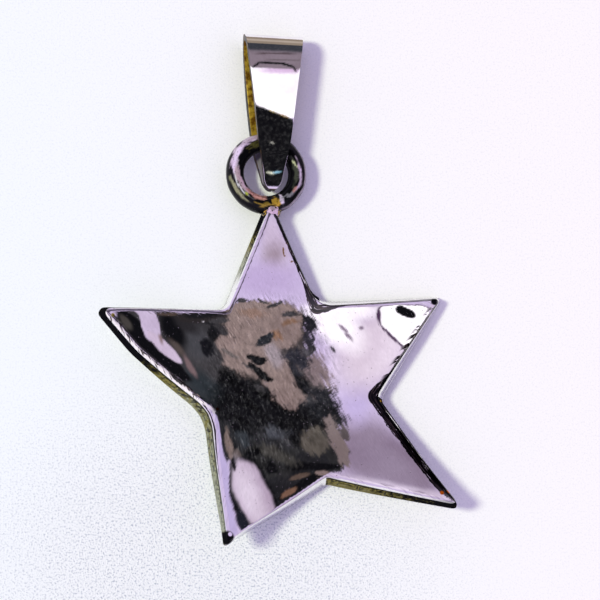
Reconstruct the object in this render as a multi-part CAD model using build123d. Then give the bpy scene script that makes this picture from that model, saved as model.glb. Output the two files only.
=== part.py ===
from build123d import *
from collections import namedtuple
from math import acos, cos, dist, exp, radians, sin
import os

# Star pendant: a dished five-pointed silver star with a jump ring soldered to its top point,
# and a long tapered strap bail that hangs in the ring.
# It lies face up, as a pendant put down on a table does. Millimetres, +Z up, +Y towards the
# bail, +X to the right. The origin is the middle of the bottom of the box round the whole.

# Star plate: its longest arm and its widest notch, from the star's middle
arm_length = 14.8
waist_radius = 7.5
plate_thick = 1.25
bend_height = 2.6
bend_start = 3.5
bend_power = 2.5
# Where a bend has faded out beside its arm, and beyond the tip as a share of the arm
bend_width = 6.0
bend_end = 1.2
tip_radius = 0.5
notch_radius = 1.0
edge_radius = 0.12
# Dish: its hollow's radius, and its lowest point from the star's middle
dish_radius = 77.0
belly_x = -2.0
belly_y = -1.0
# How far the edge walls lean out for each millimetre that they go down
wall_lean = 0.5
# Where a bowed side bulges most, from the tip to the notch, and how round it is there
bow_place = 0.4
bow_radius = 6.0

# Jump ring, soldered on the star's top point
ring_wire = 1.3
ring_hole = 3.2
solder_size = 1.5
solder_overlap = 0.2

# Strap bail: a folded loop whose ends are closed in the ring's hole
bail_length = 11.2
bail_width = 4.1
strap_thick = 0.45
# The gap between the strap and the ring's wire, and from the closed tip to the hole's edge
strap_gap = 0.15
tip_gap = 0.35
shoulder_radius = 1.2
# How round the fold is, as a share of the loop's half depth, and the tip, of its half width
fold_roundness = 0.96
tip_roundness = 0.9
# Where the bail hangs: to the right of the ring's middle, and turned in degrees
bail_shift = 0.4
bail_turn = -0.5

# How far cutting shapes reach past what they cut
cut_margin = 1.0

bail_depth = ring_wire + 2 * strap_gap + 2 * strap_thick
closed_depth = 2 * strap_thick
closed_length = ring_hole - tip_gap - 2 * strap_gap

# Five arms, turning left from the right-hand one. Reach, lift and round are shares of arm_length,
# bend_height and tip_radius. Twist is the slope across the arm at its tip, lean is a share of
# wall_lean, and bow is how far the side that follows the tip bulges, as a share of its length.
Arm = namedtuple("Arm", "angle reach lift twist round lean bow")
ARMS = {
    "right": Arm(28.5, 0.820, -0.545, 0.00, 0.5, 0.8, 0.0),
    "top": Arm(98.2, 0.845, -0.20, 0.05, 0.8, 0.8, 0.0),
    "left": Arm(163.3, 1.000, 0.62, -0.12, 1.0, 1.0, 0.03),
    "lower_left": Arm(246.2, 0.882, 1.00, -0.20, 0.5, 0.7, 0.0),
    "lower_right": Arm(321.4, 0.990, 0.25, 0.08, 0.7, 1.0, 0.0),
}

# The notch that follows each arm. Reach, round and lean are shares of waist_radius, notch_radius
# and wall_lean.
Notch = namedtuple("Notch", "angle reach round lean")
NOTCHES = (
    Notch(72.7, 0.697, 1.6, 0.8),
    Notch(136.8, 0.893, 0.7, 0.4),
    Notch(204.1, 0.858, 2.8, 0.8),
    Notch(287.1, 0.990, 0.7, 0.9),
    Notch(346.6, 0.795, 0.6, 1.0),
)

# The strap's width from its closed tip to its fold, as shares of bail_length and bail_width
Width = namedtuple("Width", "along width")
STRAP_WIDTHS = (
    Width(0.00, 0.27),
    Width(0.10, 0.34),
    Width(0.32, 0.57),
    Width(0.71, 0.82),
    Width(1.00, 1.00),
)


def polar(reach, angle):
    return reach * cos(radians(angle)), reach * sin(radians(angle))


def arm_rise(arm, x, y):
    """How far one arm's bend and twist lift the plate at a point of its plan."""
    along_x, along_y = polar(1.0, arm.angle)
    along = x * along_x + y * along_y
    across = y * along_x - x * along_y
    share = max(0.0, along - bend_start) / (arm.reach * arm_length - bend_start)
    fade = exp(-((across / bend_width) ** 4) - (share / bend_end) ** 16)
    return (arm.lift * bend_height + arm.twist * across) * share**bend_power * fade


def back_height(x, y):
    """Height of the plate's back: a shallow dish whose arms are bent up or down."""
    dish = ((x - belly_x) ** 2 + (y - belly_y) ** 2) / (2 * dish_radius)
    return dish + sum(arm_rise(arm, x, y) for arm in ARMS.values())


def corners():
    """Corners of the front edge as reach, angle, rounding and lean, turning left."""
    for arm, notch in zip(ARMS.values(), NOTCHES):
        yield arm.reach * arm_length, arm.angle, arm.round * tip_radius, arm.lean * wall_lean
        yield notch.reach * waist_radius, notch.angle, notch.round * notch_radius, notch.lean * wall_lean


def star_outline(level):
    """The star's outline at one height, between walls that lean out towards the back."""
    points = []
    roundings = []
    for reach, angle, rounding, lean in corners():
        front = back_height(*polar(reach, angle)) + plate_thick
        points.append(polar(reach + lean * (front - level), angle))
        roundings.append(rounding)
    for place, arm in reversed(list(enumerate(ARMS.values()))):
        if arm.bow > 0:
            tip, foot = points[2 * place], points[2 * place + 1]
            run_x, run_y = foot[0] - tip[0], foot[1] - tip[1]
            points.insert(2 * place + 1, (
                tip[0] + bow_place * run_x + arm.bow * run_y,
                tip[1] + bow_place * run_y - arm.bow * run_x,
            ))
            roundings.insert(2 * place + 1, bow_radius)
    return Pos(Z=level) * Wire(FilletPolyline(*points, radius=roundings, close=True).edges())


def star_plate():
    """The dished plate inside its sloping walls, with its front edge eased."""
    side = arm_length + cut_margin
    steps = 26
    ticks = [side * (2 * i / steps - 1) for i in range(steps + 1)]
    heights = [[(x, y, back_height(x, y)) for y in ticks] for x in ticks]
    back = Face.make_surface_from_array_of_points(heights, tol=0.01)
    sheet = extrude(back, amount=plate_thick, dir=(0, 0, 1))
    highest = max(back_height(*polar(reach, angle)) for reach, angle, _, _ in corners())
    levels = (-cut_margin, highest + plate_thick + cut_margin)
    plate = sheet & Solid.make_loft([star_outline(level) for level in levels], ruled=True)
    return fillet([edge for edge in plate.edges() if on_front(edge)], edge_radius)


def on_front(edge):
    """Whether an edge runs along the plate's front face."""
    middle = edge.position_at(0.5)
    return middle.Z - back_height(middle.X, middle.Y) > 0.9 * plate_thick


def top_point():
    """Where the rounded end of the top arm lies, halfway through the plate."""
    arm = ARMS["top"]
    corner = polar(arm.reach * arm_length, arm.angle)
    sides = []
    for notch in (NOTCHES[0], NOTCHES[1]):
        foot = polar(notch.reach * waist_radius, notch.angle)
        length = dist(corner, foot)
        sides.append(((foot[0] - corner[0]) / length, (foot[1] - corner[1]) / length))
    half = acos(sides[0][0] * sides[1][0] + sides[0][1] * sides[1][1]) / 2
    reach = arm.reach * arm_length - arm.round * tip_radius * (1 / sin(half) - 1)
    x, y = polar(reach, arm.angle)
    return Vector(x, y, back_height(x, y) + plate_thick / 2)


def ring_centre():
    """The jump ring's centre: on the top arm's line, level with the end of the arm."""
    step = ring_hole / 2 + ring_wire - solder_overlap
    return top_point() + Vector(*polar(step, ARMS["top"].angle))


def jump_ring():
    ring = Torus((ring_hole + ring_wire) / 2, ring_wire / 2)
    return [Pos(ring_centre()) * ring, Pos(top_point()) * Sphere(solder_size / 2)]


def strap_loop():
    """Side view of the folded strap about its middle line, from its closed tip at y = 0 to its fold."""
    half = bail_depth / 2
    fold_radius = fold_roundness * half
    end_radius = closed_depth / 3
    outside = FilletPolyline(
        (0, -closed_depth / 2),
        (closed_length, -half),
        (bail_length, -half),
        (bail_length, half),
        (closed_length, half),
        (0, closed_depth / 2),
        radius=[end_radius, shoulder_radius, fold_radius, fold_radius, shoulder_radius, end_radius],
        close=True,
    )
    whole = make_face(outside.edges())
    return whole - offset(whole, -strap_thick)


def strap_plan():
    """Plan of the tapered strap, with its closed tip rounded off."""
    right = [(row.width * bail_width / 2, row.along * bail_length) for row in STRAP_WIDTHS]
    right.append((right[-1][0], bail_length + cut_margin))
    left = [(-x, y) for x, y in reversed(right)]
    plan = make_face(Polyline(*right, *left, close=True).edges())
    tip = plan.vertices().sort_by(Axis.Y)[:2]
    return fillet(tip, tip_roundness * right[0][0])


def strap_bail():
    side_view = Plane.YZ * strap_loop()
    loop = extrude(side_view, amount=bail_width, both=True)
    strap = loop & extrude(strap_plan(), amount=bail_depth, both=True)
    foot = ring_centre() + Vector(bail_shift, tip_gap - ring_hole / 2)
    return Pos(foot) * Rot(Z=bail_turn) * strap


def main():
    star = star_plate() + jump_ring()
    bail = strap_bail()
    box = Compound([star, bail]).bounding_box()
    middle = box.center()
    place = Pos(-middle.X, -middle.Y, -box.min.Z)
    os.makedirs("parts", exist_ok=True)
    export_step(place * star, "parts/star.step")
    export_step(place * bail, "parts/bail.step")


main()
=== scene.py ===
"""Looks of the star pendant: a dished silver star, its soldered jump ring and its strap bail."""

import math
from collections import namedtuple

import bmesh
import bpy
import numpy as np
from mathutils import Matrix, Vector, noise


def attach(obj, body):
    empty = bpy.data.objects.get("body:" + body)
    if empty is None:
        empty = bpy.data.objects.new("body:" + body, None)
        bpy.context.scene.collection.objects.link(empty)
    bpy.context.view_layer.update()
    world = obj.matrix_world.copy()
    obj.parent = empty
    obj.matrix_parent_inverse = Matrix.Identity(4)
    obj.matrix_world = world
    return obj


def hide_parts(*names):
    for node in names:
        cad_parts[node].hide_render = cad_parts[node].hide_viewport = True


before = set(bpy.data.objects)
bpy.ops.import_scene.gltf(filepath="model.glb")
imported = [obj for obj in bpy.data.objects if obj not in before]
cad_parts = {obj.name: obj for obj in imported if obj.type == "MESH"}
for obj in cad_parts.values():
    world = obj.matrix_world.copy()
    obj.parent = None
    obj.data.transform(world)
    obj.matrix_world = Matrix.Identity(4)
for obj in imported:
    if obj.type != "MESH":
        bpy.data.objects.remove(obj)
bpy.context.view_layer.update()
# One seed for the noise, so that every run paints the same patches
noise.seed_set(1)

# Sizes are millimetres in the star's own plan, as in the part's source, until a piece is finished.
MM = 0.001
ARM_LENGTH = 14.8
WAIST_RADIUS = 7.5
PLATE_THICK = 1.25
BEND_HEIGHT = 2.6
BEND_START = 3.5
BEND_POWER = 2.5
BEND_WIDTH = 6.0
BEND_END = 1.2
TIP_RADIUS = 0.5
NOTCH_RADIUS = 1.0
DISH_RADIUS = 77.0
BELLY = (-2.0, -1.0)
WALL_LEAN = 0.5
BOW_PLACE = 0.4
BOW_RADIUS = 6.0
RING_WIRE = 1.3
RING_HOLE = 3.2
SOLDER_SIZE = 1.5
SOLDER_OVERLAP = 0.2
RING_RADIUS = (RING_HOLE + RING_WIRE) / 2
BAIL_LENGTH = 11.2
BAIL_WIDTH = 4.1
STRAP_THICK = 0.45
STRAP_GAP = 0.15
TIP_GAP = 0.35
SHOULDER_RADIUS = 1.2
FOLD_ROUNDNESS = 0.96
# How far the strap's tip is rounded off, and its cut edges, and how far the fold reaches
TIP_LENGTH = 0.85
STRAP_EDGE = 0.07
FOLD_REACH = 1.3
# The fold lies a little further out than the rest, aslant, and spread at the left of its front.
# The back leg bulges to the left.
FOLD_RISE = 0.08
FOLD_TILT = -0.012
FOLD_SPREAD = 0.10
LEG_SHIFT = 0.22
BAIL_SHIFT = 0.4
BAIL_TURN = -0.5
# Where the star's middle lies in the pendant's frame
STAR_PLACE = Vector((1.316, -6.180, 0.017))

Arm = namedtuple("Arm", "angle reach lift twist round lean bow")
ARMS = {
    "right": Arm(28.5, 0.820, -0.545, 0.00, 0.5, 0.8, 0.0),
    "top": Arm(98.2, 0.845, -0.20, 0.05, 0.8, 0.8, 0.0),
    "left": Arm(163.3, 1.000, 0.62, -0.12, 1.0, 1.0, 0.03),
    "lower_left": Arm(246.2, 0.882, 1.00, -0.20, 0.5, 0.7, 0.0),
    "lower_right": Arm(321.4, 0.990, 0.25, 0.08, 0.7, 1.0, 0.0),
}
Notch = namedtuple("Notch", "angle reach round lean")
NOTCHES = (
    Notch(72.7, 0.697, 1.6, 0.8),
    Notch(136.8, 0.893, 0.7, 0.4),
    Notch(204.1, 0.858, 2.8, 0.8),
    Notch(287.1, 0.990, 0.7, 0.9),
    Notch(346.6, 0.795, 0.6, 1.0),
)
Width = namedtuple("Width", "along width")
STRAP_WIDTHS = (
    Width(0.00, 0.27),
    Width(0.10, 0.34),
    Width(0.32, 0.57),
    Width(0.71, 0.82),
    Width(1.00, 1.00),
)


def polar(reach, angle):
    return reach * math.cos(math.radians(angle)), reach * math.sin(math.radians(angle))


def smooth(share):
    """A share from 0 to 1 that starts and ends softly."""
    share = np.clip(share, 0.0, 1.0)
    return share * share * (3 - 2 * share)


def arm_rise(arm, x, y):
    """How far one arm's bend and twist lift the plate at a point of its plan."""
    along_x, along_y = polar(1.0, arm.angle)
    along = x * along_x + y * along_y
    across = y * along_x - x * along_y
    share = max(0.0, along - BEND_START) / (arm.reach * ARM_LENGTH - BEND_START)
    fade = math.exp(-((across / BEND_WIDTH) ** 4) - (share / BEND_END) ** 16)
    return (arm.lift * BEND_HEIGHT + arm.twist * across) * share**BEND_POWER * fade


def back_height(x, y):
    """Height of the plate's back: a shallow dish whose arms are bent up or down."""
    dish = ((x - BELLY[0]) ** 2 + (y - BELLY[1]) ** 2) / (2 * DISH_RADIUS)
    return dish + sum(arm_rise(arm, x, y) for arm in ARMS.values())


Corner = namedtuple("Corner", "x y round lean height")


def star_corners():
    """The ten corners of the star's front, tip and notch by turns, turning left from the right tip."""
    for arm, notch in zip(ARMS.values(), NOTCHES):
        for row, reach, radius in ((arm, ARM_LENGTH, TIP_RADIUS), (notch, WAIST_RADIUS, NOTCH_RADIUS)):
            x, y = polar(row.reach * reach, row.angle)
            height = back_height(x, y) + PLATE_THICK
            yield Corner(x, y, row.round * radius, row.lean * WALL_LEAN, height)


CORNERS = list(star_corners())
# The star's ten sides in turn, each from one corner to the next: how wide its rolled edge is, how far
# that drops, the burr raised on it, where a dark line runs in from the edge, partly oxide and partly
# painted dark reflection, how dark and how nicked it is, and its wall's tone at both ends: black at 0,
# olive at 0.5, grey-green at 1 and bare at 2.
Side = namedtuple("Side", "name roll drop burr near far dark nick tone end_tone")
SIDES = (
    Side("right_top", 0.20, 0.04, 0.00, -0.10, 0.07, 0.9, 0.0, 1.8, 2.0),
    Side("top_right", 0.25, 0.08, 0.00, -0.10, 0.26, 1.0, 0.1, 0.0, 0.0),
    Side("top_left", 0.40, 0.10, 0.02, 0.24, 0.31, 0.8, 0.15, -0.3, 1.7),
    Side("left_top", 0.25, 0.06, 0.00, 0.06, 0.20, 0.8, 0.3, 1.8, 0.0),
    Side("left_bottom", 0.45, 0.08, 0.14, 0.32, 0.44, 0.9, 0.1, -0.55, 0.75),
    Side("low_left", 0.45, 0.08, 0.00, -0.10, 0.03, 0.8, 0.1, 0.72, 1.08),
    Side("low_right", 0.15, 0.03, 0.00, -0.10, -0.05, 0.5, 0.0, 2.0, 2.0),
    Side("foot_bottom", 0.35, 0.10, 0.03, -0.10, 0.02, 0.3, 0.2, 0.48, 0.02),
    Side("foot_right", 0.50, 0.10, 0.00, -0.10, 0.64, 1.0, 0.2, 0.0, 0.0),
    Side("right_bottom", 0.20, 0.04, 0.00, -0.10, 0.08, 1.0, 1.0, 2.0, 2.0),
)
# How much wider the dark line is at a notch, or narrower, by the number of its corner, and how far
# along the sides that reaches
NOTCH_SWELL = {1: 0.42, 3: 0.05, 5: -0.32, 7: 0.06, 9: 0.26}
SWELL_REACH = 1.3
# The marks of a side that the mesh carries to the finishes
EDGE_LAYERS = ("near", "far", "dark", "nick", "burr")
# How far in from the edge the burr stands, and how thick it is
BURR_PLACE = 0.20
BURR_THICK = 0.10
# How far the front's and the back's edges are rounded, and the plate's squares, fine enough to bend
FRONT_EDGE = 0.14
BACK_EDGE = 0.08
GRID_STEP = 0.11
# A face is wall where the height of its normal lies between these
WALL_NORMALS = (-0.5, 0.35)
# Hand-made unevenness of the sheet: how wide and how high it is, and the layer of its noise
Dent = namedtuple("Dent", "wide high layer")
DENTS = (Dent(3.4, 0.020, 4.0), Dent(1.3, 0.005, 9.0))


def side_ends(number):
    """The two corners that a side joins."""
    return CORNERS[number], CORNERS[(number + 1) % len(CORNERS)]


def share_along(number, x, y):
    """How far along a side a point lies, as a share of the side's length."""
    a, b = side_ends(number)
    run_x, run_y = b.x - a.x, b.y - a.y
    return min(1.0, max(0.0, ((x - a.x) * run_x + (y - a.y) * run_y) / (run_x**2 + run_y**2)))


def bow_height(number, along):
    """How far a bowed side's outline stands out from the straight line between its corners."""
    if SIDES[number].name != "left_bottom":
        return 0.0
    a, b = side_ends(number)
    part = along / BOW_PLACE if along < BOW_PLACE else (1 - along) / (1 - BOW_PLACE)
    return ARMS["left"].bow * math.hypot(b.x - a.x, b.y - a.y) * part


def nearest_edge(x, y):
    """The side nearest to a point, and how far in from it the point lies."""
    found = []
    for number in range(len(CORNERS)):
        a, b = side_ends(number)
        along = share_along(number, x, y)
        gap_x, gap_y = x - a.x - along * (b.x - a.x), y - a.y - along * (b.y - a.y)
        found.append((math.hypot(gap_x, gap_y), number, along, gap_x, gap_y))
    gap, number, along, gap_x, gap_y = min(found)
    a, b = side_ends(number)
    if 0 < along < 1 and gap_x * (b.y - a.y) - gap_y * (b.x - a.x) > 0:
        gap = -gap
    return number, gap + bow_height(number, along)


def side_place(x, y):
    """Which side of the star a point faces, where along it, how far in, and its share of the way out."""
    for number in range(len(CORNERS)):
        a, b = side_ends(number)
        between = a.x * y - a.y * x >= -1e-9 and b.x * y - b.y * x <= 1e-9
        if between and x * (a.x + b.x) + y * (a.y + b.y) > 0:
            break
    run_x, run_y = b.x - a.x, b.y - a.y
    length = math.hypot(run_x, run_y)
    rim = a.x * run_y - a.y * run_x
    here = x * run_y - y * run_x
    share = here / rim
    scale = 1 / share if share > 1e-6 else 0.0
    along = share_along(number, x * scale, y * scale)
    return number, along, (rim - here) / length + bow_height(number, along), share


def side_marks(number, along):
    """A side's dark line, nicks and burr at a place along it, run into its neighbours' at both corners."""
    side = SIDES[number]
    following = (number + 1) % len(CORNERS)
    a, b = side_ends(number)
    length = math.hypot(b.x - a.x, b.y - a.y)
    start = math.exp(-((along * length / SWELL_REACH) ** 2))
    end = math.exp(-(((1 - along) * length / SWELL_REACH) ** 2))
    marks = {}
    for name in EDGE_LAYERS:
        value = getattr(side, name)
        value += 0.5 * start * (getattr(SIDES[number - 1], name) - value)
        value += 0.5 * end * (getattr(SIDES[following], name) - value)
        marks[name] = value
    marks["far"] += start * NOTCH_SWELL.get(number, 0.0) + end * NOTCH_SWELL.get(following, 0.0)
    return marks


def roll_height(number, along, inward):
    """How far a side's rolled and burred edge drops or rises at a distance in from the edge."""
    side = SIDES[number]
    if inward > 2.0 * side.roll:
        return 0.0
    ends = min(1.0, 8 * along, 8 * (1 - along))
    way = 14 * along
    slow = noise.noise(Vector((0.55 * way, 5.1, number)))
    quick = noise.noise(Vector((3.0 * way + 2.0 * inward, 1.7 + inward, number)))
    bead = 0.55 + 1.0 * slow + 0.9 * quick
    fall = max(0.0, 1 - inward / side.roll) ** 2
    ridge = math.exp(-(((inward - BURR_PLACE) / BURR_THICK) ** 2))
    return ends * (side.burr * max(0.1, bead) * ridge - side.drop * fall)


def unevenness(x, y):
    return sum(dent.high * noise.noise(Vector((x / dent.wide, y / dent.wide, dent.layer))) for dent in DENTS)


def shaped(x, y, depth):
    """Where a point of the flat star goes once the plate is dished, bent and given its leaning walls."""
    number, along, inward, share = side_place(x, y)
    a, b = side_ends(number)
    weight = min(1.0, share) ** 6
    new_x, new_y = x, y
    for _ in range(4):
        z = back_height(new_x, new_y) + PLATE_THICK + depth
        new_x, new_y = x, y
        for corner, part in ((a, 1 - along), (b, along)):
            reach = math.hypot(corner.x, corner.y)
            push = weight * part * corner.lean * (corner.height - z) / reach
            new_x += push * corner.x
            new_y += push * corner.y
    front = max(0.0, 1 + depth / PLATE_THICK)
    z += front * roll_height(number, along, inward) + unevenness(x, y) * (1 - 0.6 * weight)
    return Vector((new_x, new_y, z))


def ease(bm, geom, size, segments, affect="EDGES"):
    """Rounds off edges or corners."""
    bmesh.ops.bevel(
        bm, geom=geom, offset=size, offset_type="OFFSET", segments=segments, profile=0.5,
        affect=affect, clamp_overlap=True, material=-1,
    )


def cut(bm, place, normal):
    """Cuts all faces along a plane, so that they can bend there."""
    geom = bm.verts[:] + bm.edges[:] + bm.faces[:]
    bmesh.ops.bisect_plane(bm, geom=geom, dist=0.004, plane_co=Vector(normal) * place, plane_no=normal)


def thicken(bm, shift):
    """Makes flat faces a solid, from where they lie as far as a shift takes them."""
    made = bmesh.ops.extrude_face_region(bm, geom=bm.faces[:], use_keep_orig=True)
    fresh = [part for part in made["geom"] if isinstance(part, bmesh.types.BMVert)]
    bmesh.ops.translate(bm, vec=shift, verts=fresh)
    bmesh.ops.recalc_face_normals(bm, faces=bm.faces[:])


def add_object(name, data):
    """Puts a mesh, a lamp or a camera into the scene."""
    made = bpy.data.objects.new(name, data)
    bpy.context.scene.collection.objects.link(made)
    return made


def end_mesh(bm, name, finishes):
    """Ends a bmesh as a mesh with its finishes."""
    mesh = bpy.data.meshes.new(name)
    bm.to_mesh(mesh)
    bm.free()
    for finish in finishes:
        mesh.materials.append(finish)
    return mesh


def finish_piece(bm, name, node, finishes, place):
    """Makes a bmesh a finished piece, in metres and in the pendant's frame."""
    bmesh.ops.recalc_face_normals(bm, faces=bm.faces[:])
    mesh = end_mesh(bm, name, finishes)
    mesh.transform(Matrix.Scale(MM, 4) @ place)
    mesh.shade_smooth()
    piece = add_object(name, mesh)
    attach(piece, "root")
    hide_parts(node)


def corner_tangent(points, place, radius):
    """How far from a corner its rounding starts, on both sides."""
    here, before, after = (Vector(points[(place + k) % len(points)]) for k in (0, -1, 1))
    half = (before - here).angle(after - here) / 2
    return radius / math.tan(half)


def flat_star(bm):
    """The star's front as one flat face with rounded corners."""
    points = [(corner.x, corner.y, 0.0) for corner in CORNERS]
    radii = [corner.round for corner in CORNERS]
    tip, foot = Vector(points[4]), Vector(points[5])
    run = foot - tip
    out = Vector((run.y, -run.x, 0)) * ARMS["left"].bow
    points.insert(5, tuple(tip + BOW_PLACE * run + out))
    radii.insert(5, BOW_RADIUS)
    verts = [bm.verts.new(point) for point in points]
    bm.faces.new(verts)
    for place, vert in enumerate(verts):
        ease(bm, [vert], corner_tangent(points, place, radii[place]), 8, "VERTICES")


def ease_rim(bm, level, size, segments):
    """Rounds off the edge round the flat plate's front or back."""
    rim = [
        edge for edge in bm.edges
        if all(abs(vert.co.z - level) < 1e-4 for vert in edge.verts)
        and any(abs(face.normal.z) < 0.5 for face in edge.link_faces)
    ]
    ease(bm, rim, size, segments)


def star_plate(finishes):
    """The dished plate: a flat star, thickened, its edges eased, cut fine and shaped."""
    bm = bmesh.new()
    flat_star(bm)
    thicken(bm, (0, 0, -PLATE_THICK))
    ease_rim(bm, 0.0, FRONT_EDGE, 4)
    ease_rim(bm, -PLATE_THICK, BACK_EDGE, 2)
    for face in bm.faces:
        face.material_index = 1 if WALL_NORMALS[0] < face.normal.z < WALL_NORMALS[1] else 0
    for normal in ((1, 0, 0), (0, 1, 0)):
        place = -ARM_LENGTH
        while place < ARM_LENGTH:
            cut(bm, place, normal)
            place += GRID_STEP
    inside = bm.verts.layers.float.new("edge_in")
    deep = bm.verts.layers.float.new("edge_depth")
    layers = {name: bm.loops.layers.float.new(name) for name in ("edge_way", "tone", *EDGE_LAYERS)}
    for face in bm.faces:
        centre = face.calc_center_median()
        number = nearest_edge(centre.x, centre.y)[0]
        side = SIDES[number]
        for loop in face.loops:
            along = share_along(number, loop.vert.co.x, loop.vert.co.y)
            loop[layers["edge_way"]] = 20.0 * number + 10.0 * along
            loop[layers["tone"]] = side.tone + smooth(along) * (side.end_tone - side.tone)
            for name, value in side_marks(number, along).items():
                loop[layers[name]] = value
    for vert in bm.verts:
        x, y, depth = vert.co
        vert[inside] = nearest_edge(x, y)[1]
        vert[deep] = -depth
        vert.co = shaped(x, y, depth)
    finish_piece(bm, "star_plate", "star", finishes, Matrix.Translation(STAR_PLACE))


def top_point():
    """Where the rounded end of the top arm lies, halfway through the plate."""
    corner, before, after = CORNERS[2], CORNERS[1], CORNERS[3]
    here = Vector((corner.x, corner.y))
    half = (Vector((before.x, before.y)) - here).angle(Vector((after.x, after.y)) - here) / 2
    reach = here.length - corner.round * (1 / math.sin(half) - 1)
    x, y = polar(reach, ARMS["top"].angle)
    return Vector((x, y, back_height(x, y) + PLATE_THICK / 2))


def ring_centre():
    step = RING_HOLE / 2 + RING_WIRE - SOLDER_OVERLAP
    return top_point() + Vector((*polar(step, ARMS["top"].angle), 0))


def jump_ring(finishes):
    """The jump ring: a round wire spun round, slightly uneven, with its tarnish and painted reflections
    along it.
    """
    bm = bmesh.new()
    made = bmesh.ops.create_circle(bm, segments=48, radius=RING_WIRE / 2)
    turn = Matrix.Translation((RING_RADIUS, 0, 0)) @ Matrix.Rotation(math.radians(90), 4, "X")
    bmesh.ops.transform(bm, matrix=turn, verts=made["verts"])
    bmesh.ops.spin(
        bm, geom=bm.verts[:] + bm.edges[:], cent=(0, 0, 0), axis=(0, 0, 1), dvec=(0, 0, 0),
        angle=math.tau, steps=320, use_merge=True, use_duplicate=False,
    )
    bmesh.ops.remove_doubles(bm, verts=bm.verts[:], dist=1e-4)
    joint = math.radians(ARMS["top"].angle - 180)
    places = []
    for vert in bm.verts:
        along = (math.atan2(vert.co.y, vert.co.x) - joint) % math.tau * RING_RADIUS
        places.append(Vector((along, math.hypot(vert.co.x, vert.co.y) - RING_RADIUS, 0.3 * vert.co.z)))
    colours = painted(places, WIRE_PATCHES, COAL, 0.06, strokes(places, 0, (2.2, 8.0)))
    layer = bm.verts.layers.float_color.new("wire_colour")
    for vert, colour in zip(bm.verts, colours):
        vert[layer] = (*colour, 1.0)
        vert.co *= 1 + 0.012 * noise.noise(vert.co * 0.9)
    place = Matrix.Translation(STAR_PLACE + ring_centre())
    finish_piece(bm, "jump_ring", "star", finishes, place)


def solder_joint(finishes):
    """The lump of solder between the ring and the star's top point."""
    bm = bmesh.new()
    bmesh.ops.create_icosphere(bm, subdivisions=5, radius=SOLDER_SIZE / 2)
    for vert in bm.verts:
        vert.co *= 1 + 0.10 * noise.noise(vert.co * 2.5) + 0.03 * noise.noise(vert.co * 7.0)
    bmesh.ops.scale(bm, vec=(0.95, 0.9, 0.92), verts=bm.verts[:])
    place = Matrix.Translation(STAR_PLACE + top_point())
    finish_piece(bm, "solder_joint", "star", finishes, place)


def strap_share(along):
    """The strap's width at a share of its length from the tip, as a share of its width at the fold."""
    for low, high in zip(STRAP_WIDTHS, STRAP_WIDTHS[1:]):
        if along <= high.along:
            part = max(0.0, (along - low.along) / (high.along - low.along))
            return low.width + part * (high.width - low.width)
    return STRAP_WIDTHS[-1].width


def strap_half(y):
    """Half the strap's width at a distance from its tip, which is rounded off."""
    half = strap_share(y / BAIL_LENGTH) * BAIL_WIDTH / 2
    short = max(0.0, 1 - y / TIP_LENGTH)
    return half * max(0.06, math.sqrt(max(0.0, 1 - short**2)))


def flat_loop(bm, half, closed_length):
    """The strap's loop, as wide as its fold all along, from a side view with a wall's thickness."""
    side = ((0, -STRAP_THICK), (closed_length, -half), (BAIL_LENGTH, -half))
    side += tuple((y, -z) for y, z in reversed(side))
    face = bm.faces.new([bm.verts.new((-BAIL_WIDTH / 2, y, z)) for y, z in side])
    bm.normal_update()
    bmesh.ops.inset_region(bm, faces=[face], thickness=STRAP_THICK, use_even_offset=True, use_boundary=True)
    bmesh.ops.delete(bm, geom=[face], context="FACES_ONLY")
    thicken(bm, (BAIL_WIDTH, 0, 0))


def round_bends(bm, y, z, radius):
    """Rounds the strap's bends at a distance from its tip, above and below its middle plane."""
    bends = []
    for edge in bm.edges:
        offs = [Vector(vert.co[1:]) - Vector((y, math.copysign(z, vert.co.z))) for vert in edge.verts]
        if all(off.length < 1e-3 for off in offs) and edge.verts[0].co.x != edge.verts[1].co.x:
            bends.append(edge)
    bm.normal_update()
    faces = bends[0].link_faces
    turned = faces[0].normal.angle(faces[1].normal)
    ease(bm, bends, radius * math.tan(turned / 2), 14)


def mark_strap(bm):
    """Gives the strap's outside the first finish, its inside the second and its cut edges the third."""
    for face in bm.faces:
        centre = face.calc_center_median()
        back = BAIL_LENGTH / 2 - centre.y if centre.y > BAIL_LENGTH - FOLD_REACH else 0
        if abs(face.normal.x) > 0.5:
            face.material_index = 2
        elif face.normal.dot(Vector((0, back, -centre.z))) > 0:
            face.material_index = 1
        else:
            face.material_index = 0


def ease_strap(bm):
    """Rounds off the strap's long edges."""
    sharp = [
        edge for edge in bm.edges
        if len(edge.link_faces) == 2 and edge.calc_face_angle() > math.radians(60)
        and edge.link_faces[0].normal.cross(edge.link_faces[1].normal).length > 0.8
        and all(abs(abs(vert.co.x) - BAIL_WIDTH / 2) < 1e-3 for vert in edge.verts)
    ]
    ease(bm, sharp, STRAP_EDGE, 3)


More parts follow.
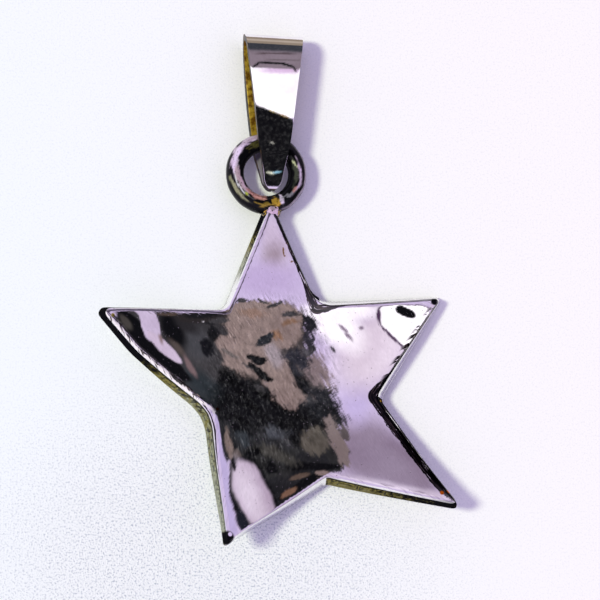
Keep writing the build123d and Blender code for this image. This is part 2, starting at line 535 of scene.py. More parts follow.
def strap_bail(finishes):
    """The bail: a strap loop cut from its side view, rounded at its folds, then tapered."""
    half = (RING_WIRE + 2 * STRAP_GAP + 2 * STRAP_THICK) / 2
    closed_length = RING_HOLE - TIP_GAP - 2 * STRAP_GAP
    bm = bmesh.new()
    flat_loop(bm, half, closed_length)
    round_bends(bm, BAIL_LENGTH, half, FOLD_ROUNDNESS * half)
    round_bends(bm, BAIL_LENGTH - STRAP_THICK, half - STRAP_THICK, FOLD_ROUNDNESS * half - STRAP_THICK)
    round_bends(bm, closed_length, half, SHOULDER_RADIUS)
    round_bends(bm, 0.0, STRAP_THICK, 2 * STRAP_THICK / 3)
    mark_strap(bm)
    # Close together where the tip is rounded off, evenly up to the fold, and lengthways
    for place in (0.02, 0.05, 0.09, 0.14, 0.20, 0.28, 0.36, 0.46, 0.58, 0.72):
        cut(bm, place, (0, 1, 0))
    for place in range(3, int(BAIL_LENGTH / 0.35)):
        cut(bm, 0.35 * place, (0, 1, 0))
    for share in (-0.94, -0.8, -0.4, 0.0, 0.4, 0.8, 0.94):
        cut(bm, share * BAIL_WIDTH / 2, (1, 0, 0))
    ease_strap(bm)
    for vert in bm.verts:
        x, y, z = vert.co
        x *= strap_half(max(0.0, y)) / (BAIL_WIDTH / 2)
        under = max(0.0, -z / half)
        rise = smooth((y - 0.55 * BAIL_LENGTH) / (0.45 * BAIL_LENGTH))
        bulge = LEG_SHIFT * math.sin(math.pi * min(1.0, max(0.0, y / BAIL_LENGTH)))
        vert.co.x = x - bulge * under - FOLD_SPREAD * rise * (1 - under) * (x < 0)
        vert.co.y = y + rise * (FOLD_RISE + FOLD_TILT * x)
    place = STAR_PLACE + ring_centre() + Vector((BAIL_SHIFT, TIP_GAP - RING_HOLE / 2, 0))
    turn = Matrix.Translation(place) @ Matrix.Rotation(math.radians(BAIL_TURN), 4, "Z")
    finish_piece(bm, "strap_bail", "bail", finishes, turn)


# So wide, in millimetres, that a pattern doesn't change across it
FLAT = 1000.0


class Number:
    """A number in a material. A sum written with it adds the Math nodes."""

    def __init__(self, shade, socket):
        self.shade = shade
        self.socket = socket

    def math(self, operation, *others, first=None):
        start = self if first is None else first
        rest = others if first is None else (self,)
        node = self.shade.node("ShaderNodeMath", {"operation": operation}, dict(enumerate((start, *rest))))
        return Number(self.shade, node.outputs[0])

    def __add__(self, other):
        return self.math("ADD", other)

    def __sub__(self, other):
        return self.math("SUBTRACT", other)

    def __rsub__(self, other):
        return self.math("SUBTRACT", first=other)

    def __mul__(self, other):
        return self.math("MULTIPLY", other)

    __radd__ = __add__
    __rmul__ = __mul__

    def ramp(self, low, high):
        """0 at low and 1 at high, smooth between."""
        node = self.shade.node(
            "ShaderNodeMapRange", {"interpolation_type": "SMOOTHSTEP"},
            {"Value": self, "From Min": low, "From Max": high},
        )
        return Number(self.shade, node.outputs[0])


class Shade:
    """A material's nodes. Its patterns lie on Object coordinates, with sizes in millimetres."""

    def __init__(self, name, tree=None):
        if tree is None:
            self.material = bpy.data.materials.new(name)
            self.material.use_nodes = True
            tree = self.material.node_tree
        self.tree = tree
        self.tree.nodes.clear()
        self.place = self.node("ShaderNodeTexCoord").outputs["Object"]

    def node(self, kind, settings=None, inputs=None):
        made = self.tree.nodes.new(kind)
        for key, value in (settings or {}).items():
            setattr(made, key, value)
        for key, value in (inputs or {}).items():
            if isinstance(value, Number):
                value = value.socket
            if isinstance(value, bpy.types.NodeSocket):
                self.tree.links.new(value, made.inputs[key])
            else:
                made.inputs[key].default_value = value
        return made

    def fit(self, size, turn=0.0, at=(0.0, 0.0)):
        """Coordinates about a place in plan, turned, in units of a size."""
        values = {
            "Vector": self.place, "Location": (at[0] * MM, at[1] * MM, 0.0),
            "Rotation": (0, 0, math.radians(turn)), "Scale": [part * MM for part in size],
        }
        return self.node("ShaderNodeMapping", {"vector_type": "TEXTURE"}, values).outputs[0]

    def away(self, at, size, turn=0.0):
        """How far a point lies from a place in plan, in units of a width and a height."""
        near = self.fit((*size, FLAT), turn, at)
        node = self.node("ShaderNodeVectorMath", {"operation": "LENGTH"}, {0: near})
        return Number(self, node.outputs["Value"])

    def plan(self):
        """Where a point lies in plan, across and along."""
        node = self.node("ShaderNodeSeparateXYZ", {}, {0: self.place})
        return [Number(self, node.outputs[axis]) * (1 / MM) for axis in (0, 1)]

    def cloud(self, place, detail=2.0, rough=0.5):
        """Noise on given coordinates."""
        values = {"Vector": place, "Scale": 1.0, "Detail": detail, "Roughness": rough}
        return Number(self, self.node("ShaderNodeTexNoise", {}, values).outputs["Fac"])

    def grain(self, size, detail=2.0, rough=0.5):
        """Noise with grains of a size."""
        return self.cloud(self.fit((size,) * 3), detail, rough)

    def mix(self, low, high, share, blend="MIX"):
        node = self.node(
            "ShaderNodeMix", {"data_type": "RGBA", "blend_type": blend}, {0: share, 6: low, 7: high},
        )
        return node.outputs[2]

    def vector(self, x, y):
        return self.node("ShaderNodeCombineXYZ", {}, {0: x, 1: y}).outputs[0]

    def attribute(self, name):
        node = self.node("ShaderNodeAttribute", {"attribute_name": name})
        return Number(self, node.outputs["Fac"])

    def painted_colour(self, name):
        """The colour that a mesh carries."""
        return self.node("ShaderNodeAttribute", {"attribute_name": name}).outputs["Color"]

    def bump(self, height, strength, distance, under=None):
        values = {"Height": height, "Strength": strength, "Distance": distance * MM}
        if under is not None:
            values["Normal"] = under
        return self.node("ShaderNodeBump", {}, values).outputs[0]

    def surface(self, colour, rough, normal, metallic=1.0, specular=0.5):
        values = {
            "Base Color": colour, "Roughness": rough, "Metallic": metallic,
            "Specular IOR Level": specular, "Normal": normal,
        }
        shader = self.node("ShaderNodeBsdfPrincipled", {}, values)
        self.node("ShaderNodeOutputMaterial", {}, {"Surface": shader.outputs[0]})
        return self.material

    def light(self, colour):
        """A surface that shines by itself and lights nothing."""
        shader = self.node("ShaderNodeEmission", {}, {"Color": colour})
        self.node("ShaderNodeOutputMaterial", {}, {"Surface": shader.outputs[0]})
        self.material.cycles.emission_sampling = "NONE"
        return self.material


def paint(red, green, blue):
    """A colour given as it looks on a screen, 0 to 255."""
    def straight(value):
        value /= 255
        return value / 12.92 if value <= 0.04045 else ((value + 0.055) / 1.055) ** 2.4
    return straight(red), straight(green), straight(blue), 1.0


SILVER = paint(248, 246, 247)
DULL_SILVER = paint(226, 220, 224)
LILAC = paint(214, 198, 236)
# Brighter than white, as a lamp's mirror image is
WHITE = (1.35, 1.30, 1.40, 1.0)
MAUVE = paint(152, 136, 158)
TAUPE = paint(148, 130, 127)
SLATE = paint(66, 64, 68)
COAL = paint(17, 17, 21)
PLUM = paint(84, 60, 92)
OLIVE = paint(128, 120, 62)
GREY_GREEN = paint(176, 180, 150)
GOLD = paint(176, 138, 40)
RUST = paint(196, 96, 20)


# Small marks: place in the pendant's frame, radius and colour. Most are stains; the white one is a painted
# highlight
Spot = namedtuple("Spot", "x y radius colour")
SPOTS = (
    Spot(11.52, -14.42, 0.15, RUST),
    Spot(11.98, -14.33, 0.14, RUST),
    Spot(7.50, -7.85, 0.10, GOLD),
    Spot(-11.85, -2.38, 0.15, paint(190, 180, 90)),
    Spot(-4.20, -8.60, 0.12, RUST),
    Spot(11.42, -0.66, 0.26, COAL),
    Spot(-3.90, -17.75, 0.55, COAL),
    # A painted highlight on the black bead at the lower left tip
    Spot(-3.70, -17.50, 0.16, paint(250, 246, 250)),
)
DRIED_DROP = Spot(0.95, 2.60, 0.55, paint(150, 118, 72))
# How deep the polish is scratched
SCRATCH_DEPTH = 0.0012


def scratches(shade, lay, width, run):
    """Fine polishing scratches that all lie one way, stronger in some places."""
    fine = shade.cloud(shade.fit((run, width, run), lay), 2.0, 0.6)
    where = shade.cloud(shade.fit((3.1,) * 3, lay + 20), 1.0).ramp(0.36, 0.60)
    return (fine - 0.5) * where


def spotted(shade, colour):
    """A colour with the small marks on it, stains and a painted highlight, and how much of it they cover."""
    covered = 0.0
    for spot in SPOTS:
        near = 1 - shade.away((spot.x, spot.y), (spot.radius, spot.radius)).ramp(0.7, 1.1)
        colour = shade.mix(colour, spot.colour, near)
        covered = near.math("MAXIMUM", covered)
    return colour, covered


def dropped(shade, colour):
    """A colour with the broken rim of a dried drop on it."""
    rim = shade.away((DRIED_DROP.x, DRIED_DROP.y), (DRIED_DROP.radius, 1.35 * DRIED_DROP.radius), 20)
    broken = shade.grain(0.32).ramp(0.46, 0.56)
    return shade.mix(colour, DRIED_DROP.colour, rim.ramp(0.78, 0.90) * (1 - rim.ramp(0.98, 1.12)) * broken)


def edge_oxide_and_dark_reflection(shade):
    """How dark the edges are, partly oxide and partly painted dark reflection, and the long marks in that.
    """
    inside, way = shade.attribute("edge_in"), shade.attribute("edge_way")
    lines = shade.cloud(shade.vector(way * 0.55 + inside * 0.8, inside * 9.0), 3.0, 0.6)
    nicks = shade.cloud(shade.vector(way * 2.4 + inside * 4.5, inside * 1.3), 2.0, 0.55)
    wobble = (shade.cloud(shade.vector(way * 1.6, 7.0), 3.0) - 0.5) * 0.7
    far, near = shade.attribute("far"), shade.attribute("near")
    band = (far * (1 + wobble) - inside).ramp(-0.02, 0.02) * (inside - near).ramp(-0.02, 0.02)
    band = band * shade.attribute("dark") * (1 - lines.ramp(0.60, 0.64))
    chips = nicks.ramp(0.53, 0.57) * (0.50 - inside).ramp(0.0, 0.25) * shade.attribute("nick")
    return band.math("MAXIMUM", chips), lines


def rope(shade):
    """The burr along the left arm: where it lies and its painted white highlight goes, and the slanting cuts
    in it.
    """
    inside, way = shade.attribute("edge_in"), shade.attribute("edge_way")
    thick = shade.cloud(shade.vector(way * 0.75, 3.0), 1.0).ramp(0.42, 0.62)
    slant = way * 3.2 + inside * 6.0
    rough = (shade.cloud(shade.vector(slant * 1.6, 1.0), 2.0) - 0.5) * (0.30 + 0.50 * thick)
    reach = (0.15 + 0.20 * thick + rough - inside).ramp(-0.02, 0.02)
    reach = reach * (inside - 0.03 + rough).ramp(-0.02, 0.02)
    cuts = shade.cloud(shade.vector(slant, inside * 1.5), 3.0, 0.6).ramp(0.54, 0.60)
    return reach * shade.attribute("burr").ramp(0.04, 0.10), cuts


def face_finish():
    """Polished silver with fine scratches and small pits, its edges dark with oxide and painted reflection.
    """
    shade = Shade("polished_silver")
    rubbed = 0.35 + 0.65 * (1 - shade.away((1.5, -5.5), (7.5, 8.5)).ramp(0.45, 1.05))
    scratch = scratches(shade, -58, 0.055, 0.55) + 0.6 * scratches(shade, -78, 0.05, 0.4)
    scratch = (scratch + 0.5 * scratches(shade, 30, 0.05, 0.4)) * rubbed
    pits = shade.grain(0.13, 1.0).ramp(0.75, 0.80)
    dark, lines = edge_oxide_and_dark_reflection(shade)
    burr, cuts = rope(shade)
    normal = shade.bump(scratch, 1.0, SCRATCH_DEPTH)
    normal = shade.bump(1 - pits - 0.6 * dark, 0.5, 0.03, normal)
    haze = shade.grain(4.5, 3.0)
    colour = shade.mix(SILVER, DULL_SILVER, haze.ramp(0.4, 0.75))
    colour = dropped(shade, shade.mix(colour, paint(120, 108, 100), pits))
    # The dark band's colour along the edges: partly oxide, partly painted dark reflection
    mottle = shade.mix(COAL, paint(74, 62, 60), lines.ramp(0.52, 0.58))
    colour = shade.mix(colour, mottle, dark)
    # The burr's white is a painted highlight, broken by the dark slanting cuts
    burr_highlight = shade.mix(paint(255, 246, 250), paint(70, 56, 54), cuts)
    colour, _ = spotted(shade, shade.mix(colour, burr_highlight, burr))
    return shade.surface(colour, 0.02 + 0.03 * haze + 0.25 * dark + 0.3 * burr, normal, 1 - 0.8 * burr)


def wall_finish():
    """The filed walls: dark with oxide, olive-gold where worn thin, bare on some sides, and a painted
    highlight at the back edge.
    """
    shade = Shade("filed_wall")
    way, deep, tone = shade.attribute("edge_way"), shade.attribute("edge_depth"), shade.attribute("tone")
    marks = shade.cloud(shade.vector(way * 5.0 + deep, deep * 0.9), 3.0, 0.6)
    level = tone + 1.1 * (shade.grain(0.36, 4.0, 0.65) - 0.5)
    colour = shade.mix(COAL, OLIVE, level.ramp(0.10, 0.45))
    colour = shade.mix(colour, GREY_GREEN, level.ramp(0.55, 1.0))
    colour = shade.mix(colour, paint(24, 22, 20), marks.ramp(0.54, 0.64) * (1 - tone.ramp(0.9, 1.3)))
    bare = tone.ramp(1.1, 1.5)
    flecks = shade.cloud(shade.vector(way * 2.6 + deep, deep * 5.0), 3.0, 0.6).ramp(0.50, 0.56)
    under = (0.30 - deep).ramp(0.0, 0.08).math("MAXIMUM", flecks * (1.20 - deep).ramp(0.0, 0.55))
    colour = shade.mix(colour, COAL, under * (1 - bare) * 0.85)
    # A painted white highlight along the wall's back edge, on the sides with the darkest edge line
    rim = deep.ramp(1.02, 1.08) * shade.attribute("dark").ramp(0.93, 0.98)
    colour = shade.mix(colour, paint(236, 226, 238), rim)
    colour, covered = spotted(shade, shade.mix(colour, SILVER, bare))
    metallic = 0.9 * level.ramp(0.2, 0.9) * (1 - rim) * (1 - covered)
    return shade.surface(colour, 0.30 - 0.2 * bare, shade.bump(marks, 0.5, 0.04), metallic, 0.0)


def ring_finish():
    """Oxidised wire, with painted reflections and glints along it."""
    shade = Shade("oxidised_wire_painted_reflections")
    grain = shade.grain(0.13, 2.0, 0.6)
    colour = shade.mix(shade.painted_colour("wire_colour"), COAL, grain.ramp(0.58, 0.66) * 0.6)
    return shade.surface(colour, 0.22, shade.bump(grain, 0.6, 0.03), 0.45, 0.2)


def solder_finish():
    """Solder: rosy silver lumps, dark in the hollows, and dark with yellow flecks round the joint."""
    shade = Shade("solder")
    lumps = shade.grain(0.30, 3.0, 0.6)
    colour = shade.mix(COAL, paint(228, 200, 220), lumps.ramp(0.40, 0.46))
    x, y = shade.plan()
    above = (y - JOINT.y).ramp(0.30, 0.65)
    beside = (x - JOINT.x).math("ABSOLUTE").ramp(0.36, 0.44)
    dark_yellow_flecked = shade.mix(COAL, paint(206, 164, 70), shade.grain(0.20, 2.0, 0.6).ramp(0.50, 0.58))
    colour = shade.mix(colour, dark_yellow_flecked, above.math("MAXIMUM", beside))
    return shade.surface(colour, 0.20, shade.bump(lumps, 0.5, 0.05), 0.6, 0.3)


def strap_finish():
    """The strap's polished outside, finely scratched in three directions."""
    shade = Shade("polished_strap")
    scratch = scratches(shade, 70, 0.05, 0.4) + scratches(shade, 20, 0.05, 0.3)
    scratch = scratch + scratches(shade, -45, 0.05, 0.3)
    haze = shade.grain(3.0, 3.0)
    colour = shade.mix(SILVER, DULL_SILVER, haze.ramp(0.4, 0.75))
    return shade.surface(colour, 0.02 + 0.03 * haze, shade.bump(scratch, 1.0, SCRATCH_DEPTH))


def inside_finish():
    """The strap's inside: brown-gold tarnish, and clean where it closes in the ring."""
    shade = Shade("tarnished_inside")
    mottle = shade.grain(0.6, 3.0, 0.6)
    tarnish = shade.mix(paint(120, 84, 22), paint(214, 186, 70), mottle.ramp(0.4, 0.62))
    _, y = shade.plan()
    colour = shade.mix(paint(204, 196, 210), tarnish, y.ramp(10.0, 10.4))
    return shade.surface(colour, 0.25, shade.bump(mottle, 0.3, 0.04), 0.6, 0.3)


def strap_edge_finish():
    """The strap's cut edges: dark, brown in places."""
    shade = Shade("strap_edge")
    mottle = shade.grain(0.5, 3.0, 0.6)
    colour = shade.mix(COAL, paint(104, 82, 58), mottle.ramp(0.48, 0.66))
    return shade.surface(colour, 0.35, shade.bump(mottle, 0.3, 0.03), 0.3, 0.2)


# What the polish reflects: patches of a sheet just above the pendant, in millimetres of its frame.
# Each has its middle, half length, half width, turn, how square it is, its colour, softness and how
# ragged its edge is.
Patch = namedtuple("Patch", "x y long wide turn square colour soft ragged")
PATCHES = (
    # Surroundings beyond the star's sides
    Patch(14.6, -8.0, 6.0, 6.6, 0, 2, COAL, 0.03, 0.0),
    Patch(9.6, 6.2, 6.4, 5.4, 0, 2, SLATE, 0.03, 0.0),
    Patch(-9.9, -6.9, 5.6, 1.75, -40, 6, COAL, 0.05, 0.0),
    # Top arm
    Patch(0.20, 3.30, 2.2, 0.8, 100, 2, paint(226, 210, 238), 0.7, 0.2),
    Patch(0.10, 2.30, 0.9, 0.7, 80, 2, paint(176, 158, 176), 0.8, 0.8),
    Patch(-0.50, 0.60, 2.6, 1.2, 0, 2, paint(200, 180, 224), 0.7, 0.2),
    # Lower right arm
    Patch(6.30, -10.9, 1.9, 2.2, 0, 2, paint(158, 142, 166), 0.5, 0.1),
    Patch(8.90, -11.9, 2.4, 0.9, -55, 2, paint(140, 122, 146), 0.5, 0.2),
    Patch(7.60, -12.0, 2.4, 1.2, -30, 2, paint(154, 138, 162), 0.6, 0.1),
    Patch(8.00, -13.7, 4.2, 0.5, -11, 2, paint(244, 230, 252), 0.7, 0.1),
    # Right arm: pale, with a white spot in a thin dark line
    Patch(5.60, -7.4, 1.6, 1.0, -80, 2, paint(206, 190, 236), 0.6, 0.1),
    Patch(7.20, -4.0, 3.4, 2.1, 40, 2, paint(248, 234, 252), 0.5, 0.1),
    Patch(4.60, -2.5, 2.1, 1.3, -35, 2, WHITE, 0.5, 0.1),
    Patch(5.10, -1.4, 2.8, 0.7, 5, 2, WHITE, 0.5, 0.1),
    Patch(5.90, -0.85, 2.2, 0.22, 4, 2, paint(196, 178, 214), 0.5, 0.2),
    Patch(10.20, -1.45, 2.42, 1.06, 6, 4, PLUM, 0.02, 0.15),
    Patch(9.80, -2.46, 2.04, 1.10, -36, 4, PLUM, 0.04, 0.70),
    Patch(10.20, -1.45, 2.32, 0.97, 6, 4, WHITE, 0.02, 0.15),
    Patch(9.87, -2.40, 1.94, 0.96, -36, 4, WHITE, 0.02, 0.15),
    Patch(13.00, -0.30, 0.50, 0.80, -50, 2, paint(216, 196, 226), 0.2, 0.1),
    Patch(7.80, -1.50, 0.50, 0.18, 84, 2, PLUM, 0.4, 1.2),
    Patch(10.15, -1.00, 0.85, 0.36, -8, 2.5, COAL, 0.06, 0.3),
    Patch(4.95, -2.70, 0.40, 0.12, -35, 2, MAUVE, 0.4, 0.9),
    Patch(5.35, -3.25, 0.42, 0.12, -42, 2, MAUVE, 0.4, 0.9),
    Patch(6.40, -2.55, 0.16, 0.12, 0, 2, MAUVE, 0.5, 0.6),
    Patch(4.25, -4.20, 0.26, 0.09, -45, 2, COAL, 0.3, 0.0),
    # Dark ground of the star's middle
    Patch(-0.60, -3.20, 3.10, 2.30, 0, 3, paint(84, 76, 76), 0.05, 0.2),
    Patch(-4.00, -5.20, 1.40, 2.80, 0, 3, paint(56, 54, 58), 0.05, 0.1),
    Patch(1.60, -6.20, 3.20, 2.00, -60, 3, paint(76, 70, 72), 0.05, 0.5),
    Patch(-1.10, -8.60, 2.80, 2.60, -15, 3, paint(40, 40, 44), 0.05, 0.2),
    Patch(2.20, -9.60, 2.60, 2.40, -20, 3, paint(50, 50, 54), 0.05, 0.4),
    Patch(3.30, -11.20, 1.90, 1.20, -5, 3, paint(48, 48, 50), 0.05, 0.4),
    Patch(1.60, -12.50, 2.40, 1.30, 25, 3, paint(38, 38, 42), 0.05, 0.1),
    Patch(-2.40, -6.10, 1.50, 0.60, -15, 3, paint(44, 42, 44), 0.08, 0.3),
    Patch(-0.40, -11.20, 1.30, 0.60, -25, 3, paint(46, 46, 48), 0.08, 0.3),
    Patch(0.60, -11.50, 1.20, 0.80, 0, 3, paint(46, 46, 48), 0.08, 0.3),
    Patch(-1.20, -6.00, 1.20, 0.75, -20, 3, paint(60, 54, 54), 0.08, 0.3),
    # Black over it
    Patch(-3.00, -7.00, 1.20, 1.20, -30, 3, COAL, 0.05, 0.2),
    Patch(-1.60, -7.70, 2.40, 1.45, -12, 3, COAL, 0.05, 0.4),
    Patch(1.50, -8.80, 2.90, 0.95, -3, 3, COAL, 0.05, 0.4),
    Patch(3.60, -8.00, 0.95, 0.85, -40, 3, paint(32, 33, 38), 0.05, 0.8),
    Patch(-1.90, -9.50, 0.80, 0.30, -30, 2, COAL, 0.14, 0.6),
    Patch(-0.70, -10.70, 0.75, 0.26, 0, 2, COAL, 0.14, 0.6),
    Patch(1.60, -10.00, 0.80, 0.45, -60, 2, COAL, 0.14, 0.8),
    Patch(0.30, -11.70, 0.50, 0.25, -40, 2, COAL, 0.14, 0.5),
    Patch(2.80, -11.85, 1.90, 0.24, -6, 2, COAL, 0.09, 0.7),
    Patch(2.40, -12.90, 1.60, 0.25, 25, 2, COAL, 0.09, 0.6),
    Patch(-1.70, -9.85, 0.60, 0.30, -30, 2, paint(50, 54, 60), 0.23, 0.6),
    # Grey and brown in its lower part
    Patch(3.00, -10.30, 0.90, 0.80, -50, 2, paint(98, 92, 86), 0.16, 0.6),
    Patch(0.40, -9.75, 0.80, 0.35, -15, 2, paint(74, 76, 84), 0.23, 0.7),
    Patch(0.60, -11.00, 1.50, 0.35, -25, 2, paint(70, 68, 66), 0.23, 0.8),
    Patch(4.50, -10.50, 1.70, 0.50, -72, 2, paint(138, 124, 124), 0.09, 0.9),
    Patch(4.95, -9.80, 0.50, 0.30, -60, 2, paint(96, 88, 90), 0.14, 0.9),
    Patch(3.55, -12.35, 0.45, 0.16, -10, 2, TAUPE, 0.18, 0.8),
    Patch(2.10, -12.40, 0.60, 0.16, 0, 2, paint(100, 84, 76), 0.23, 0.9),
    Patch(1.65, -13.25, 0.45, 0.22, 20, 2, paint(136, 104, 86), 0.23, 0.7),
    Patch(-2.55, -10.10, 0.85, 0.16, -68, 2, paint(132, 116, 112), 0.18, 0.4),
    Patch(-1.95, -10.60, 0.45, 0.16, -20, 2, paint(92, 82, 80), 0.23, 0.5),
    # Grey-brown area in its upper part
    Patch(-0.45, -2.50, 2.50, 1.60, -3, 3, TAUPE, 0.05, 0.3),
    Patch(-1.90, -4.75, 1.90, 1.05, -18, 3, TAUPE, 0.05, 0.3),
    Patch(0.20, -5.50, 2.30, 1.05, -58, 3, TAUPE, 0.05, 0.3),
    Patch(1.30, -7.25, 0.95, 0.80, -30, 3, TAUPE, 0.07, 0.5),
    Patch(3.10, -5.60, 1.50, 0.70, -65, 2, paint(140, 124, 128), 0.14, 1.0),
    Patch(0.20, -4.60, 0.90, 0.55, -60, 2, paint(162, 150, 158), 0.36, 0.3),
    Patch(-1.20, -1.80, 0.80, 0.30, 0, 2, paint(150, 124, 114), 0.41, 1.2),
    Patch(1.30, -2.35, 0.50, 0.16, 10, 2, paint(140, 110, 92), 0.36, 1.4),
    Patch(0.35, -3.25, 0.26, 0.26, 30, 2, paint(146, 112, 92), 0.36, 1.4),
    # Its dark border and spots
    Patch(-2.05, -0.90, 0.60, 0.15, 0, 2, SLATE, 0.14, 1.0),
    Patch(-0.60, -0.95, 0.50, 0.08, -15, 2, SLATE, 0.14, 1.0),
    Patch(0.20, -1.15, 0.55, 0.12, 25, 2, SLATE, 0.14, 1.0),
    Patch(2.55, -2.40, 0.80, 0.50, -80, 2, paint(34, 34, 42), 0.07, 0.8),
    Patch(2.45, -3.60, 0.75, 0.40, -88, 2, paint(52, 50, 60), 0.09, 1.0),
    Patch(1.75, -4.80, 0.90, 0.62, -20, 2, paint(46, 46, 56), 0.09, 1.0),
    Patch(2.60, -4.30, 0.55, 0.30, 20, 2, paint(64, 62, 68), 0.09, 1.0),
    Patch(1.65, -5.70, 0.80, 0.36, -62, 2, paint(44, 44, 52), 0.09, 1.0),
    Patch(2.35, -6.75, 0.80, 0.32, -50, 2, COAL, 0.09, 0.8),
    Patch(3.40, -7.30, 1.20, 0.42, -25, 2, paint(36, 36, 42), 0.09, 1.0),
    Patch(1.30, -1.82, 0.50, 0.20, 8, 2, SLATE, 0.11, 0.6),
    Patch(-0.35, -3.58, 0.72, 0.30, 35, 2, paint(38, 40, 46), 0.07, 0.3),
    Patch(-1.02, -4.90, 0.66, 0.28, -22, 2, paint(22, 22, 26), 0.05, 0.2),
    Patch(-0.74, -5.74, 1.02, 0.27, -36, 2, COAL, 0.05, 0.2),
    Patch(-1.60, -5.35, 0.50, 0.08, -28, 2, SLATE, 0.14, 0.4),
    Patch(-0.65, -6.85, 0.36, 0.20, -10, 2, SLATE, 0.14, 1.0),
    Patch(-2.75, -4.60, 0.65, 0.14, -30, 2, paint(108, 100, 100), 0.27, 0.5),
    # Left arm: slate and brown, a lilac horn and its dark border
    Patch(-6.60, -4.70, 3.40, 2.60, -38, 3, SLATE, 0.04, 0.1),
    Patch(-4.70, -4.00, 0.95, 0.85, -70, 2, paint(72, 72, 78), 0.60, 0.2),
    Patch(-4.60, -6.70, 1.20, 0.70, -40, 2, paint(50, 56, 62), 0.60, 0.2),
    Patch(-6.15, -3.40, 1.25, 0.70, -70, 2, COAL, 0.40, 0.1),
    Patch(-5.30, -2.90, 0.80, 0.45, -30, 2, paint(44, 42, 46), 0.50, 0.3),
    Patch(-6.30, -2.35, 0.70, 0.16, 8, 2, paint(92, 78, 72), 0.50, 0.3),
    Patch(-5.95, -4.50, 0.60, 0.20, -45, 2, paint(88, 78, 76), 0.60, 0.2),
    Patch(-5.20, -5.60, 0.75, 0.18, -65, 2, paint(124, 104, 108), 0.40, 0.2),
    Patch(-4.30, -2.25, 1.60, 0.42, 10, 3, paint(46, 42, 44), 0.10, 0.3),
    Patch(-4.30, -2.20, 1.20, 0.22, 12, 2, paint(28, 28, 32), 0.30, 1.4),
    Patch(-3.75, -2.62, 0.50, 0.10, 12, 2, paint(28, 28, 32), 0.30, 1.4),
    Patch(-7.55, -4.60, 2.90, 0.62, -45, 3, COAL, 0.08, 0.1),
    Patch(-6.00, -6.00, 1.00, 0.30, -35, 2, COAL, 0.20, 0.2),
    Patch(-9.05, -3.35, 0.55, 0.24, -50, 2, paint(74, 70, 68), 0.40, 0.2),
    Patch(-7.55, -3.05, 1.25, 0.55, -80, 3, paint(214, 198, 228), 0.05, 0.05),
    Patch(-7.90, -2.45, 0.75, 0.42, -52, 2, paint(214, 198, 228), 0.08, 0.05),
    Patch(-6.72, -4.60, 1.30, 0.34, -41, 2, paint(214, 196, 222), 0.08, 0.05),
    Patch(-6.95, -4.10, 0.30, 0.10, -70, 2, paint(150, 128, 132), 0.60, 0.3),
    Patch(-4.30, -2.62, 0.08, 0.04, -50, 2, paint(226, 220, 232), 0.40, 0.3),
    Patch(-3.70, -3.30, 0.50, 0.34, 90, 2, paint(24, 24, 28), 0.20, 0.8),
    Patch(-4.10, -4.25, 0.60, 0.44, 90, 2, paint(24, 24, 30), 0.20, 0.8),
    Patch(-3.30, -2.45, 0.60, 0.16, 10, 2, SLATE, 0.20, 0.9),
    # Lower left arm: a lilac strip, a dark line and a long lilac oval
    Patch(-2.70, -11.80, 3.70, 0.46, -67, 3, paint(196, 182, 226), 0.06, 0.05),
    Patch(-1.62, -12.60, 1.80, 0.22, -68, 3, COAL, 0.08, 0.05),
    Patch(-0.42, -13.05, 2.70, 0.92, -56, 2.5, COAL, 0.05, 0.05),
    Patch(-0.40, -13.10, 2.60, 0.76, -56, 2.2, paint(198, 180, 204), 0.10, 0.03),
    Patch(-0.55, -13.10, 2.10, 0.50, -56, 2.2, paint(230, 216, 236), 0.60, 0.03),
    Patch(-0.85, -14.30, 0.85, 0.30, -62, 2, paint(30, 32, 42), 0.15, 0.2),
    Patch(-2.05, -11.10, 0.40, 0.14, -60, 2, COAL, 0.20, 0.4),
)
# The same over the bail
STRAP_PATCHES = (
    Patch(0.30, 15.20, 3.2, 2.60, 0, 20, WHITE, 0.02, 0.0),
    Patch(0.60, 16.10, 1.6, 0.25, 2, 2, paint(236, 206, 244), 0.60, 0.6),
    Patch(0.00, 9.76, 3.2, 3.10, -19, 20, COAL, 0.012, 0.03),
    Patch(0.72, 12.78, 0.40, 0.04, -21, 2, GOLD, 0.40, 0.6),
    Patch(-0.10, 13.06, 0.26, 0.03, -21, 2, paint(216, 190, 110), 0.40, 0.6),
    Patch(-0.15, 10.78, 0.20, 0.025, -26, 2, paint(226, 226, 216), 0.40, 0.2),
    Patch(0.10, 7.10, 1.3, 1.10, 0, 6, COAL, 0.05, 0.1),
    Patch(-0.10, 6.95, 0.30, 0.07, -5, 2, paint(250, 252, 230), 0.30, 0.3),
    Patch(0.35, 7.00, 0.32, 0.06, 8, 2, paint(150, 200, 226), 0.30, 0.3),
    Patch(0.40, 22.30, 4.0, 6.10, 0, 20, paint(140, 126, 138), 0.01, 0.01),
    Patch(0.10, 17.30, 1.4, 0.06, 2, 4, paint(84, 70, 76), 0.40, 0.8),
    Patch(0.80, 16.85, 1.2, 0.05, 2, 4, paint(108, 96, 104), 0.40, 0.8),
    Patch(-0.25, 16.60, 0.90, 0.08, -1, 4, COAL, 0.25, 0.4),
    Patch(-1.30, 16.42, 0.32, 0.08, 38, 4, COAL, 0.25, 0.4),
    Patch(0.95, 16.50, 0.48, 0.09, -15, 4, COAL, 0.25, 0.4),
    Patch(1.52, 16.22, 0.28, 0.08, -58, 2, COAL, 0.25, 0.2),
    Patch(2.00, 25.60, 12.0, 5.60, 0, 20, paint(150, 136, 122), 0.03, 0.1),
    Patch(1.00, 18.85, 5.0, 1.35, 0, 8, paint(58, 60, 68), 0.20, 0.3),
    Patch(2.00, 22.40, 9.0, 0.60, 0, 8, paint(184, 170, 158), 0.60, 0.2),
)
